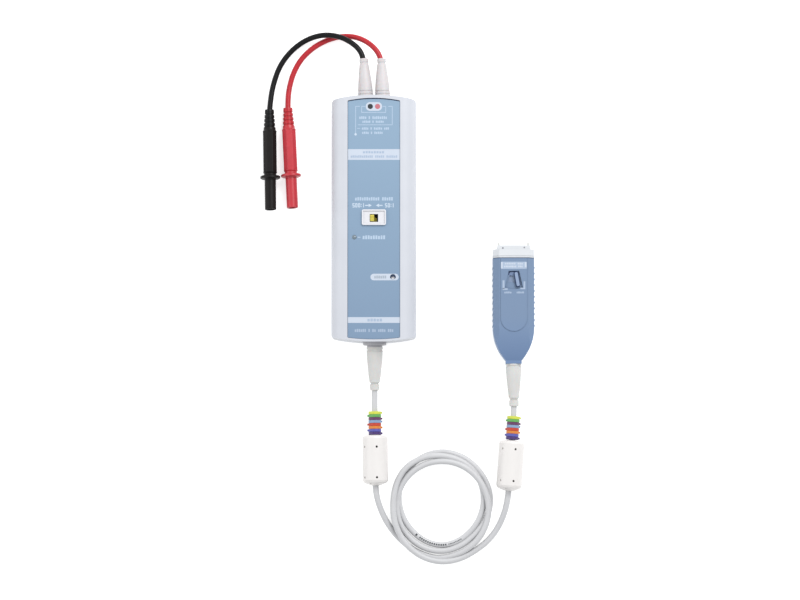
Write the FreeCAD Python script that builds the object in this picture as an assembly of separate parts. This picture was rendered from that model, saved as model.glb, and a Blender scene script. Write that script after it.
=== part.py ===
"""High-voltage differential probe: probe box, two input leads with shrouded plugs,
a coiled output cable with marker rings and ferrite cases, and a scope interface box.

Frame: the back of the probe box lies on z = 0, +Y runs along the box towards the
input leads, +X runs towards the interface box. All lengths are in millimetres.
"""
import FreeCAD
import Part
import math
import os

V = FreeCAD.Vector

# --- probe box -----------------------------------------------------------
BOX_W = 71.2            # across
BOX_L = 207.0           # along, at the middle of the bowed ends
BOX_T = 34.0            # back to the crown of the front
BOX_WALL = 2.5
BOX_SPLIT = 17.0        # height of the parting plane, and of all cable entries
END_BOW_R = 170.0       # radius of the bowed ends
CORNER_R = 3.5
FOOT_CHAMFER = 2.0
RIM_X = 24.5            # where the flank falls away from the flat front
RIM_Z = 33.2
FLANK_TOP = 23.0        # height where the flank meets the side wall
OVERLAY_HALF_W = 22.0
OVERLAY_Y = (-101.8, 101.0)
OVERLAY_BOW_R = (END_BOW_R, 110.0)   # of its lower and upper end
OVERLAY_SEAT = 32.2     # floor of the overlay's recess
OVERLAY_T = 0.6
CASE_SCREW_X = 27.0
CASE_SCREW_Y = 86.0
BOARD_TOP = 22.0
BOARD_T = 1.6

# --- controls on the front -------------------------------------------------
BEZEL_X = (-10.0, 10.2)
BEZEL_Y = (-6.0, 7.0)
BEZEL_TOP = 34.4
BEZEL_SEAT = 31.0
BEZEL_CORNER_R = 1.4
WINDOW_X = (-3.4, 3.6)
WINDOW_Y = (-3.4, 3.2)
SLIDER_X = (-3.0, 0.2)
SLIDER_Y = (-2.5, 2.5)
SLIDER_TRAVEL = 3.0
LAMP = (-16.3, -16.2)
LAMP_R = 1.8
TRIMMER = (16.0, -49.6)
TRIMMER_HOLE_R = 2.4

# --- input side --------------------------------------------------------------
BLACK_BOOT = (V(-7.0, 103.0, BOX_SPLIT), V(-8.65, 136.3, BOX_SPLIT))
RED_BOOT = (V(7.35, 103.0, BOX_SPLIT), V(6.2, 136.3, BOX_SPLIT))
BOOT_NECK_R = 4.6
LEAD_D = 4.6
BLACK_ROUTE = [
    V(-8.2, 127.0, 17.0), V(-8.8, 135.8, 17.0), V(-12.0, 144.0, 16.4),
    V(-19.6, 150.9, 14.6), V(-30.0, 156.3, 11.6), V(-43.8, 158.0, 9.0),
    V(-58.3, 153.9, 5.2), V(-70.8, 144.7, 2.7), V(-80.1, 132.0, 2.5),
    V(-85.1, 117.6, 2.7), V(-87.6, 104.4, 4.1), V(-88.57, 91.7, 4.93),
]
RED_ROUTE = [
    V(6.5, 127.0, 17.0), V(6.0, 135.6, 17.0), V(2.6, 143.2, 16.3),
    V(-4.7, 150.5, 13.4), V(-14.6, 155.8, 9.2), V(-26.4, 157.4, 4.9),
    V(-39.0, 154.7, 2.6), V(-50.9, 148.4, 2.5), V(-61.6, 138.6, 2.5),
    V(-68.2, 126.8, 2.6), V(-71.7, 114.5, 3.0), V(-73.0, 103.5, 4.2),
    V(-72.89, 93.15, 4.93),
]

# --- plugs on the leads ---------------------------------------------------------
PLUG_L = 85.5
PLUG_REST_TILT = 3.65   # degrees, nose up: flange and grip end touch the floor
FLANGE_R = 8.45
FLANGE_AT = 57.9        # from the cable end of the plug
FLANGE_T = 2.4
SHROUD_R = 4.8
SHROUD_BORE_R = 3.7
PIN_R = 2.0
BLACK_PLUG = (V(-87.6, 36.5, 0), -1.0)     # flange centre, turn about Z in degrees
RED_PLUG = (V(-70.1, 38.0, 0), -2.9)

# --- output cable -----------------------------------------------------------------
CABLE_D = 5.0
CABLE_X = 0.7           # of the gland and boot
FERRITE_R = 10.75
FERRITE_L = 40.0
FERRITE_CONE = 1.8
CORE_R = 8.2
CORE_BORE_R = 3.2
CORE_L = 33.0
MAIN_ROUTE = [
    V(0.7, -132.0, 13.60), V(0.6, -151.5, 10.80), V(1.5, -228.5, 10.80),
    V(4.9, -240.3, 7.90), V(10.6, -251.0, 4.40), V(17.6, -262.2, 2.55),
    V(25.5, -271.8, 2.50), V(36.0, -279.0, 2.50), V(48.0, -283.0, 2.50),
]
FAR_ROUTE = [
    V(45.0, -286.0, 3.00), V(57.8, -286.8, 2.60), V(71.6, -283.4, 2.50),
    V(84.6, -276.2, 2.50), V(95.2, -267.0, 2.60), V(103.6, -256.8, 4.40),
    V(109.6, -245.8, 7.90), V(112.57, -234.5, 10.80), V(117.68, -158.5, 10.80),
    V(117.48, -143.2, 11.80),
]
COIL_CENTRE = (57.7, -238.4)
COIL_HALF = (43.2, 46.3)
COIL_HOLE_CENTRE = (57.0, -237.8)
COIL_HOLE_HALF = (31.8, 32.9)
COIL_H = 10.6
RING_R = 5.35
RING_W = 2.45
RING_COLOURS = ["yellow", "green", "magenta", "skyblue", "red", "orange", "violet",
                "purple"]
RING_TAB_SIDE = [1, -1, 1, 1, -1, 1, -1, 1]
MAIN_STRAIGHT = (MAIN_ROUTE[1], MAIN_ROUTE[2])      # the stretch that rings and ferrite hold
FAR_STRAIGHT = (FAR_ROUTE[8], FAR_ROUTE[7])
MAIN_RINGS_Y = -161.1
FAR_RINGS_Y = -165.2
MAIN_FERRITE_Y = -181.3
FAR_FERRITE_Y = -185.9

# --- interface box --------------------------------------------------------------------
HUB_X = 117.2
HUB_HALF_W = 17.2
HUB_T = 26.4
HUB_MID = HUB_T / 2
HUB_WALL = 2.0
HUB_FRONT = -32.6
HUB_OGIVE = -90.8       # where the sides start to close in
HUB_REAR = -121.3
HUB_NECK = 6.6
HUB_SHOULDER = (5.0, 4.2)   # bevel along both sides of the top: across, down
HUB_KEEL = 2.0              # bevel along both sides of the bottom
PANEL_TOP = 27.0
PANEL_HALF_W = 11.0
PANEL_END = -83.4       # centre of the panel's round end
RIB_PITCH = 4.88
RIB_FIRST = -40.9
RIB_COUNT = 11
BLOCK_SHOULDER = -25.6
BLOCK_FACE = -22.2
BLOCK_FACE_HALF_W = 13.75
LEVER_PIVOT = (HUB_X, -34.9)
LEVER_REST = 9.8        # degrees, thumb bar to the right of the centre line
LEVER_SWING = 19.6
LEVER_BAR_R = (10.4, 22.2)
LEVER_BAR_W = 2.6
LEVER_ARM_R = 19.4
LEVER_ARM_HALF = 25.5   # degrees each side, so that it covers the slot at both ends
HUB_SCREW_X = 11.4
HUB_SCREW_Y = (-58.0, -87.0)


def save(name, shape):
    """Write one node and stop if it isn't a closed, valid solid."""
    shape = shape.removeSplitter()
    if not shape.isValid() or not shape.Solids or shape.Volume <= 0:
        raise ValueError(name + " is not a valid solid")
    whole = shape.Solids[0] if len(shape.Solids) == 1 else Part.makeCompound(shape.Solids)
    whole.exportStep("parts/" + name + ".step")
    print(name, len(shape.Solids), round(shape.Volume, 1))


def block(x, y, z):
    """Box from three (low, high) pairs."""
    return Part.makeBox(x[1] - x[0], y[1] - y[0], z[1] - z[0], V(x[0], y[0], z[0]))


def around(centre, half):
    return (centre - half, centre + half)


def rod(radius, start, end):
    return Part.makeCylinder(radius, (end - start).Length, start, end - start)


def post(radius, at, low, high):
    """Upright cylinder at (x, y)."""
    return rod(radius, V(at[0], at[1], low), V(at[0], at[1], high))


def turned(profile, start, toward):
    """Solid of revolution of (radius, distance) points about the line start-toward."""
    outline = [(0.0, profile[0][1])] + profile + [(0.0, profile[-1][1])]
    points = [V(radius, 0, along) for radius, along in outline]
    face = Part.Face(Part.makePolygon(points + [points[0]]))
    solid = face.revolve(V(0, 0, 0), V(0, 0, 1), 360)
    solid.Placement = FreeCAD.Placement(start, FreeCAD.Rotation(V(0, 0, 1), toward - start))
    return solid


def line(a, b):
    return Part.LineSegment(a, b).toShape()


def arc(a, b, c):
    return Part.Arc(a, b, c).toShape()


def prism(edges, along):
    return Part.Face(Part.Wire(edges)).extrude(along)


def upright_edges(solid):
    found = []
    for edge in solid.Edges:
        ends = [v.Point for v in edge.Vertexes]
        if len(ends) == 2 and math.hypot(ends[0].x - ends[1].x, ends[0].y - ends[1].y) < 0.01:
            found.append(edge)
    return found


# --- cords ---------------------------------------------------------------------
def rounded_path(name, points):
    """Straight runs joined by tangent arcs, each as large as its two runs allow."""
    edges, radii, at = [], [], points[0]
    for before, corner, after in zip(points, points[1:], points[2:]):
        into, out = corner - before, after - corner
        reach = 0.45 * min(into.Length, out.Length)
        into.normalize()
        out.normalize()
        half = into.getAngle(out) / 2
        radius = reach / math.tan(half)
        inward = out - into
        inward.normalize()
        middle = corner + inward * (radius / math.cos(half) - radius)
        edges.append(line(at, corner - into * reach))
        edges.append(arc(corner - into * reach, middle, corner + out * reach))
        at = corner + out * reach
        radii.append(round(radius, 1))
    edges.append(line(at, points[-1]))
    print(name, "radii", radii)
    return Part.Wire(edges)


def tube(name, points, diameter):
    """A plain round cord along a route, checked against section times length."""
    path = rounded_path(name, points)
    start = points[1] - points[0]
    section = Part.Wire([Part.makeCircle(diameter / 2, points[0], start)])
    solid = path.makePipeShell([section], True, True)
    wanted = math.pi * diameter ** 2 / 4 * path.Length
    print(name, "length", round(path.Length, 1), "volume ratio", round(solid.Volume / wanted, 4))
    return solid


# --- probe box -----------------------------------------------------------------
def box_form(inset, corner):
    """The box's outer form, or with an inset the hollow inside it."""
    half_w, half_l = BOX_W / 2 - inset, BOX_L / 2 - inset
    radius = END_BOW_R - inset
    slab = block((-half_w, half_w), (-half_l, half_l), (0, BOX_T))
    for side in (1, -1):
        centre = (0, side * (half_l - radius))
        slab = slab.common(post(radius, centre, 0, BOX_T))
    slab = slab.makeFillet(corner, upright_edges(slab))
    y = -half_l - 1
    low, top, rim = inset, BOX_T - inset, RIM_Z - inset
    flank, foot = FLANK_TOP - 0.4 * inset, FOOT_CHAMFER
    shoulder_x, shoulder_z = 31.4 - 0.8 * inset, 30.2 - 0.8 * inset
    right = [V(half_w - foot, y, low), V(half_w, y, low + foot), V(half_w, y, flank),
             V(shoulder_x, y, shoulder_z), V(RIM_X, y, rim)]
    left = [V(-p.x, y, p.z) for p in right]
    edges = [line(left[0], right[0]), line(right[0], right[1]), line(right[1], right[2]),
             arc(right[2], right[3], right[4]), arc(right[4], V(0, y, top), left[4]),
             arc(left[4], left[3], left[2]), line(left[2], left[1]), line(left[1], left[0])]
    return slab.common(prism(edges, V(0, 2 * half_l + 2, 0)))


def overlay_form(low, high):
    sheet = block(around(0, OVERLAY_HALF_W), OVERLAY_Y, (low, high))
    for side, end, radius in zip((-1, 1), OVERLAY_Y, OVERLAY_BOW_R):
        sheet = sheet.common(post(radius, (0, end - side * radius), low, high))
    return sheet.makeFillet(1.0, upright_edges(sheet))


def front_openings(low, high):
    """Bezel, lamp and trimmer openings through the front wall."""
    cut = block(BEZEL_X, BEZEL_Y, (low, high))
    cut = cut.makeFillet(BEZEL_CORNER_R, upright_edges(cut))
    cut = cut.fuse(post(LAMP_R + 0.1, LAMP, low, high))
    return cut.fuse(post(TRIMMER_HOLE_R, TRIMMER, low, high))


def wall_ports():
    """Necks of the boots and of the gland, through the end walls."""
    ports = []
    for start, end in (BLACK_BOOT, RED_BOOT):
        direction = (end - start).normalize()
        ports.append(rod(BOOT_NECK_R, start - direction * 6, start + direction * 2))
    ports.append(rod(6.0, V(CABLE_X, -96, BOX_SPLIT), V(CABLE_X, -105, BOX_SPLIT)))
    return ports


def case_screw_places():
    return [(x, y) for x in (-CASE_SCREW_X, CASE_SCREW_X) for y in (-CASE_SCREW_Y, CASE_SCREW_Y)]


def make_box():
    outer, hollow = box_form(0, CORNER_R), box_form(BOX_WALL, CORNER_R - BOX_WALL)
    wall = outer.cut(hollow)
    upper = block((-50, 50), (-120, 120), (BOX_SPLIT, 50))
    lower = block((-50, 50), (-120, 120), (-1, BOX_SPLIT))
    front, rear = wall.common(upper), wall.common(lower)
    for at in case_screw_places():
        front = front.fuse(post(3.5, at, BOX_SPLIT, BOX_T).common(outer))
        rear = rear.fuse(post(4.5, at, 0, BOX_SPLIT))
    for x in (-18, 18):
        for y in (-66, 66):
            rear = rear.fuse(post(3.0, (x, y), 1, BOARD_TOP - BOARD_T))
    for at in case_screw_places():
        front = front.cut(post(1.5, at, BOX_SPLIT - 1, 26))
        rear = rear.cut(post(1.6, at, 7, BOX_SPLIT + 1)).cut(post(3.2, at, -1, 8))
    front = front.cut(overlay_form(OVERLAY_SEAT, BOX_T + 2))
    front = front.cut(front_openings(BOX_SPLIT + 5, BOX_T + 2))
    front, rear = front.cut(wall_ports()), rear.cut(wall_ports())
    save("main_front_shell", front)
    save("main_rear_shell", rear)
    overlay = overlay_form(OVERLAY_SEAT, OVERLAY_SEAT + OVERLAY_T)
    save("front_overlay", overlay.cut(front_openings(20, 40)))
    screws = [screw(at, (1.5, 25), (3.0, 8), 5.6) for at in case_screw_places()]
    save("main_case_screws", Part.makeCompound(screws))
    return outer, wall


def screw(at, shank, head, face):
    """Cross-head screw from below: (radius, top) of shank and head, height of its face."""
    body = post(shank[0], at, head[1], shank[1]).fuse(post(head[0], at, face, head[1]))
    reach, depth = 0.53 * head[0], (face - 1, face + 0.9)
    cross = block(around(at[0], reach), around(at[1], 0.3), depth)
    cross = cross.fuse(block(around(at[0], 0.3), around(at[1], reach), depth))
    return body.cut(cross)


def make_board():
    board = block((-30, 30), (-92, 92), (BOARD_TOP - BOARD_T, BOARD_TOP))
    for at in case_screw_places():
        board = board.cut(post(4.5, at, BOARD_TOP - 3, BOARD_TOP + 1))
    save("main_circuit_board", board)


def make_switch():
    bezel = block(BEZEL_X, BEZEL_Y, (BEZEL_SEAT, BEZEL_TOP))
    bezel = bezel.makeFillet(BEZEL_CORNER_R, upright_edges(bezel))
    dish = block((BEZEL_X[0] + 1.1, BEZEL_X[1] - 1.1), (BEZEL_Y[0] + 1.1, BEZEL_Y[1] - 1.1),
                 (BEZEL_TOP - 1.0, BEZEL_TOP + 1))
    window = block(WINDOW_X, WINDOW_Y, (BEZEL_SEAT - 1, BEZEL_TOP + 1))
    save("switch_bezel", bezel.cut(dish).cut(window))
    plate_x = (SLIDER_X[0] - 2.2, SLIDER_X[1] + 2.2)
    plate_y = (WINDOW_Y[0] - 0.6, WINDOW_Y[1] + 0.6)
    channel_x = (plate_x[0] - 0.3, plate_x[1] + SLIDER_TRAVEL + 0.3)
    channel_y = (plate_y[0] - 0.1, plate_y[1] + 0.1)
    housing = block((BEZEL_X[0] + 1, BEZEL_X[1] - 1), (BEZEL_Y[0] + 0.5, BEZEL_Y[1] - 0.5),
                    (BOARD_TOP, BEZEL_SEAT))
    save("switch_housing", housing.cut(block(channel_x, channel_y, (28.9, 32))))
    knob = block(SLIDER_X, SLIDER_Y, (30, 34.2))
    for y in (-1.2, 0.0, 1.2):
        knob = knob.cut(block((SLIDER_X[0] - 1, SLIDER_X[1] + 1), around(y, 0.25), (33.8, 35)))
    plate = block(plate_x, plate_y, (29.0, BEZEL_SEAT - 0.2))
    save("switch_slider", knob.fuse(plate))


def make_lamp_and_trimmer():
    dome = Part.makeSphere(2.6, V(LAMP[0], LAMP[1], 30.9)).common(post(LAMP_R, LAMP, 31, 35))
    save("overrange_lamp", post(LAMP_R, LAMP, BOARD_TOP, 32.4).fuse(dome))
    housing = block(around(TRIMMER[0], 4), around(TRIMMER[1], 4), (BOARD_TOP, 29.4))
    save("trimmer_housing", housing.cut(post(1.05, TRIMMER, 24.9, 30)))
    screw = post(1.6, TRIMMER, 29.5, 31.8).fuse(post(1.0, TRIMMER, 25, 30))
    slot = block(around(TRIMMER[0], 2), around(TRIMMER[1], 0.3), (31.0, 33))
    save("trimmer_screw", screw.cut(slot))


# --- input side ------------------------------------------------------------------
def make_input_boot(name, ends, wall, outer, lead):
    """Tapered boot, held in the end wall by a neck and an inner flange."""
    start, end = ends
    direction = (end - start).normalize()
    length = (end - start).Length
    profile = [(6.4, -2.0), (6.4, 2.6), (6.0, 2.6), (6.0, 3.3), (6.3, 3.3), (6.25, 5.2),
               (5.8, 5.2), (5.8, 5.9), (6.15, 5.9), (5.75, 12.0), (5.2, 17.5), (4.6, 22.5),
               (3.9, length - 5.2), (3.4, length - 4.2), (3.4, length - 3.4),
               (3.75, length - 3.0), (3.75, length - 0.6), (3.3, length)]
    cone = turned(profile, start, end).cut(outer)
    neck = rod(BOOT_NECK_R, start - direction * 4.5, start + direction * 1.5)
    flange = rod(6.4, start - direction * 4.5, start - direction * 1.0)
    boot = cone.fuse([neck, flange.cut(wall.cut(neck)).common(inside_of(start, direction))])
    save(name, boot.cut(lead))


def inside_of(start, direction):
    """Everything of the flange that lies on the hollow's side of the end wall."""
    return rod(20, start - direction * 30, start - direction * 0.9)


def plug_frame(place):
    """Start (cable end) and nose of a plug lying on its flange and on its grip's end."""
    centre, turn = place
    tilt = math.radians(PLUG_REST_TILT)
    turn = math.radians(turn)
    nose = V(-math.sin(turn) * math.cos(tilt), -math.cos(turn) * math.cos(tilt), math.sin(tilt))
    height = FLANGE_R * math.cos(tilt) + FLANGE_T / 2 * math.sin(tilt) + 0.02
    middle = V(centre.x, centre.y, height)
    start = middle - nose * FLANGE_AT
    return start, start + nose * PLUG_L


def make_plug(colour, place, lead):
    start, nose = plug_frame(place)
    relief = [(3.85, 0)]
    for step in range(4):
        at, radius = 1.4 + 3.4 * step, 3.95 + 0.27 * step
        relief += [(radius, at), (radius, at + 2.0), (radius - 0.5, at + 2.0),
                   (radius - 0.5, at + 3.0)]
    relief += [(4.9, 15.2)]
    save(colour + "_plug_strain_relief", turned(relief, start, nose).cut(lead))
    grip = [(5.0, 15.2), (5.2, 17.4), (5.95, 18.7), (5.95, 53.6), (5.2, 54.8), (5.2, 56.7),
            (FLANGE_R - 0.8, 56.7), (FLANGE_R, 57.2), (FLANGE_R, 58.6), (FLANGE_R - 0.8, 59.1),
            (5.3, 59.1), (SHROUD_R, 59.8), (SHROUD_R, PLUG_L - 0.4), (SHROUD_R - 0.4, PLUG_L)]
    body = turned(grip, start, nose)
    axis = (nose - start).normalize()
    body = body.cut(rod(SHROUD_BORE_R, start + axis * 61.0, nose + axis))
    body = body.cut(rod(PIN_R, start + axis * 48.0, start + axis * 62.0))
    body = body.cut(grip_flats(start, nose))
    save(colour + "_plug_body", body)
    pin = [(PIN_R, 48.0), (PIN_R, 64.5), (1.45, 65.0), (1.75, 67.0), (1.98, 71.5),
           (1.75, 76.0), (1.45, 78.2), (1.6, 78.6), (1.6, 81.4), (0.9, 82.4)]
    save(colour + "_plug_pin", turned(pin, start, nose))


def grip_flats(start, nose):
    """Eight flats that face the grip, as the pieces to take off it."""
    ring = Part.makeCylinder(7.5, 34.4, V(0, 0, 18.9))
    polygon = [V(6.1 * math.cos(math.radians(45 * k + 22.5)),
                 6.1 * math.sin(math.radians(45 * k + 22.5)), 18.9) for k in range(9)]
    core = Part.Face(Part.makePolygon(polygon)).extrude(V(0, 0, 34.4))
    flats = ring.cut(core)
    flats.Placement = FreeCAD.Placement(start, FreeCAD.Rotation(V(0, 0, 1), nose - start))
    return flats


# --- output cable -------------------------------------------------------------------
def make_output_gland(wall, outer):
    back = V(CABLE_X, -96, BOX_SPLIT)
    collar = turned([(9.8, 5.0), (9.8, 9.2), (9.3, 9.8), (6.45, 9.8), (6.45, 11.6)],
                    back, back - V(0, 1, 0)).cut(outer)
    neck = rod(6.0, V(CABLE_X, -98.0, BOX_SPLIT), V(CABLE_X, -104, BOX_SPLIT))
    nut = rod(8.5, V(CABLE_X, -98.0, BOX_SPLIT), V(CABLE_X, -102, BOX_SPLIT))
    nut = nut.cut(wall.cut(neck)).common(block((-20, 20), (-101.4, -90), (0, 34)))
    save("output_gland", collar.fuse([neck, nut]))


def make_cable_boot(name, start, toward, neck, profile, bead, cable):
    """Tapered boot cut flat against the face it grows from, with its neck and end bead."""
    boot = turned(profile, start, toward).fuse(turned(bead, start, toward))
    boot = boot.cut(block((-60, 180), (start.y, start.y + 40), (-20, 60)))
    save(name, boot.fuse(neck).cut(cable))


def coil_ring():
    """Outer shape of the loose coil: an uneven ring with rounded shoulders."""
    outer = oval(COIL_CENTRE, COIL_HALF)
    hole = oval(COIL_HOLE_CENTRE, COIL_HOLE_HALF)
    ring = outer.cut(hole)
    rims = [e for e in ring.Edges if abs(e.BoundBox.ZMax - e.BoundBox.ZMin) < 0.01]
    return ring.makeFillet(2.2, rims)


def oval(centre, half):
    """Flat-lying oval slab; the longer half axis runs along Y."""
    curve = Part.Ellipse(V(0, 0, 0), half[1], half[0])
    face = Part.Face(Part.Wire([curve.toShape()]))
    face.rotate(V(0, 0, 0), V(0, 0, 1), 90)
    face.translate(V(centre[0], centre[1], 0))
    return face.extrude(V(0, 0, COIL_H))


def half_space(point, direction, size=160.0):
    """Large block on the far side of a plane, for splitting a cord."""
    slab = Part.makeBox(size, size, size, V(-size / 2, -size / 2, 0))
    slab.Placement = FreeCAD.Placement(point, FreeCAD.Rotation(V(0, 0, 1), direction))
    return slab


def make_cable():
    """Two tubes and the coil between them; the coil keeps the strands' last stretch."""
    near, far = tube("cable_main_side", MAIN_ROUTE, CABLE_D), tube("cable_far_side", FAR_ROUTE, CABLE_D)
    near_cut = half_space((MAIN_ROUTE[4] + MAIN_ROUTE[5]) * 0.5, MAIN_ROUTE[5] - MAIN_ROUTE[4])
    far_cut = half_space((FAR_ROUTE[4] + FAR_ROUTE[5]) * 0.5, FAR_ROUTE[4] - FAR_ROUTE[5])
    coil = coil_ring().fuse([near.common(near_cut), far.common(far_cut)])
    near_tube, far_tube = near.cut(near_cut), far.cut(far_cut)
    save("cable_main_side", near_tube)
    save("cable_coil", coil)
    save("cable_interface_side", far_tube)
    return near_tube, far_tube


def on_run(run, y):
    """The point of a straight stretch at the given Y."""
    return run[0] + (run[1] - run[0]) * ((y - run[0].y) / (run[1].y - run[0].y))


def make_rings(prefix, run, y, cable):
    start = on_run(run, y)
    axis = (run[1] - run[0]).normalize()
    side = V(0, 0, 1).cross(axis)
    for index, colour in enumerate(RING_COLOURS):
        at = start + axis * (RING_W * index)
        chamfer = 0.3
        ring = turned([(RING_R - chamfer, 0), (RING_R, chamfer), (RING_R, RING_W - chamfer),
                       (RING_R - chamfer, RING_W)], at, at + axis)
        tab = Part.makeBox(1.7, 1.6, RING_W - 0.9, V(RING_R - 0.7, -0.8, 0.45))
        turn = FreeCAD.Rotation(side * RING_TAB_SIDE[index], V(0, 0, 1).cross(side), axis, "ZXY")
        tab.Placement = FreeCAD.Placement(at, turn)
        save(prefix + "_ring_" + colour, ring.fuse(tab).cut(cable))


def make_ferrite(prefix, run, y, cable, roll, latch_holes):
    """Snap-on case of two half shells about a split core, rolled about the cable."""
    start = on_run(run, y)
    axis = (run[1] - run[0]).normalize()
    stop = start + axis * FERRITE_L

    def spoke(angle):
        return FreeCAD.Rotation(axis, -angle).multVec(V(0, 0, 1))
    case = turned([(3.6, -0.6), (FERRITE_R - 2.0, 0), (FERRITE_R - 0.6, 0.7), (FERRITE_R, 2.2),
                   (FERRITE_R, FERRITE_L - 2.6), (FERRITE_R - 0.7, FERRITE_L - 1.0),
                   (FERRITE_R - 2.2, FERRITE_L), (3.6, FERRITE_L + FERRITE_CONE)], start, stop)
    margin = (FERRITE_L - CORE_L) / 2
    pocket = rod(CORE_R, start + axis * margin, stop - axis * margin)
    case = case.cut(pocket).cut(cable)
    holes = []
    for along in latch_holes:
        foot = start + axis * along
        for angle, depth in ((roll, 3.2), (roll - 62.5, 0.9)):
            out = spoke(angle)
            holes.append(rod(0.95, foot + out * (FERRITE_R - depth), foot + out * (FERRITE_R + 1)))
    foot = stop + spoke(roll - 39) * 7.5
    holes.append(rod(0.8, foot - axis * 2.0, foot + axis * 4.0))
    case = case.cut(holes)
    across = spoke(roll - 10)
    save(prefix + "_ferrite_case_a", case.cut(half_space(start, across)))
    save(prefix + "_ferrite_case_b", case.common(half_space(start, across)))
    core = pocket.cut(rod(CORE_BORE_R, start, stop))
    core = Part.makeCompound([core.cut(half_space(start, across)),
                              core.common(half_space(start, across))])
    save(prefix + "_ferrite_core", core)


# --- interface box ----------------------------------------------------------------------
def hub_outline(half, neck, bulge, front, rear, to_point):
    """Long sides that close in as an ogive on a short square neck, as edges."""
    side = [(half, front), (half, HUB_OGIVE), bulge, (neck, rear + 2.6), (neck, rear)]
    right = [to_point(a, y) for a, y in side]
    left = [to_point(-a, y) for a, y in side]
    return [line(left[0], right[0]), line(right[0], right[1]), arc(right[1], right[2], right[3]),
            line(right[3], right[4]), line(right[4], left[4]), line(left[4], left[3]),
            arc(left[3], left[2], left[1]), line(left[1], left[0])]


def hub_form(inset, front):
    half_w, half_t = HUB_HALF_W - inset, HUB_T / 2 - inset
    neck, rear = HUB_NECK - inset, HUB_REAR + 1.2 * inset
    plan = hub_outline(half_w, neck, (half_w - 2.8, -105.8 + 0.5 * inset), front, rear,
                       lambda a, y: V(HUB_X + a, y, 0))
    side = hub_outline(half_t, neck, (half_t - 1.8, -105.8 + 0.5 * inset), front, rear,
                       lambda a, y: V(HUB_X - 30, y, HUB_MID + a))
    return prism(plan, V(0, 0, HUB_T)).common(prism(side, V(60, 0, 0))).common(hub_section(inset))


def hub_section(inset):
    """Long bar with the cross-section's bevels, which trims the body and its end block."""
    half, low, top = HUB_HALF_W - inset, inset, HUB_T - inset
    across, down, keel = [size - 0.6 * inset for size in HUB_SHOULDER + (HUB_KEEL,)]
    right = [(half - keel, low), (half, low + keel), (half, top - down), (half - across, top)]
    outline = right + [(-x, z) for x, z in reversed(right)]
    points = [V(HUB_X + x, -130, z) for x, z in outline]
    return Part.Face(Part.makePolygon(points + [points[0]])).extrude(V(0, 120, 0))


def long_edges(solid, corner_x, corner_z):
    """The straight edges that run along Y at the given corners."""
    found = []
    for edge in solid.Edges:
        box = edge.BoundBox
        along = box.YLength > 5 and box.XLength < 0.01 and box.ZLength < 0.01
        if along and abs(abs(box.XMin - HUB_X) - corner_x) < 0.01 and corner_z(box.ZMin):
            found.append(edge)
    return found


def lever_slot():
    """Sector under the thumb bar that lets the lever's stem swing."""
    return sector((13.1, 18.7), LEVER_SWING / 2 + 5.4, 0.0, 23, 27)


def sector(radii, half_angle, turn, low, high):
    """Part of a flat ring about the lever's pivot, centred on -Y turned to +X."""
    centre = V(LEVER_PIVOT[0], LEVER_PIVOT[1], low)

    def at(radius, angle):
        a = math.radians(angle + turn)
        return centre + V(radius * math.sin(a), -radius * math.cos(a), 0)
    inner, outer = radii
    edges = [arc(at(inner, -half_angle), at(inner, 0), at(inner, half_angle)),
             line(at(inner, half_angle), at(outer, half_angle)),
             arc(at(outer, half_angle), at(outer, 0), at(outer, -half_angle)),
             line(at(outer, -half_angle), at(inner, -half_angle))]
    return prism(edges, V(0, 0, high - low))


def lever_dish():
    """Fan-shaped recess around the thumb bar."""
    x, y = LEVER_PIVOT
    z = PANEL_TOP - 1.6
    corners = [V(x - 4.4, y - 9.0, z), V(x + 4.4, y - 9.0, z), V(x + 7.6, y - 23.2, z)]
    edges = [line(corners[0], corners[1]), line(corners[1], corners[2]),
             arc(corners[2], V(x, y - 24.4, z), V(x - 7.6, y - 23.2, z)),
             line(V(x - 7.6, y - 23.2, z), corners[0])]
    return prism(edges, V(0, 0, 5))


def hub_screw_places():
    return [(HUB_X + side * HUB_SCREW_X, y) for side in (-1, 1) for y in HUB_SCREW_Y]


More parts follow.
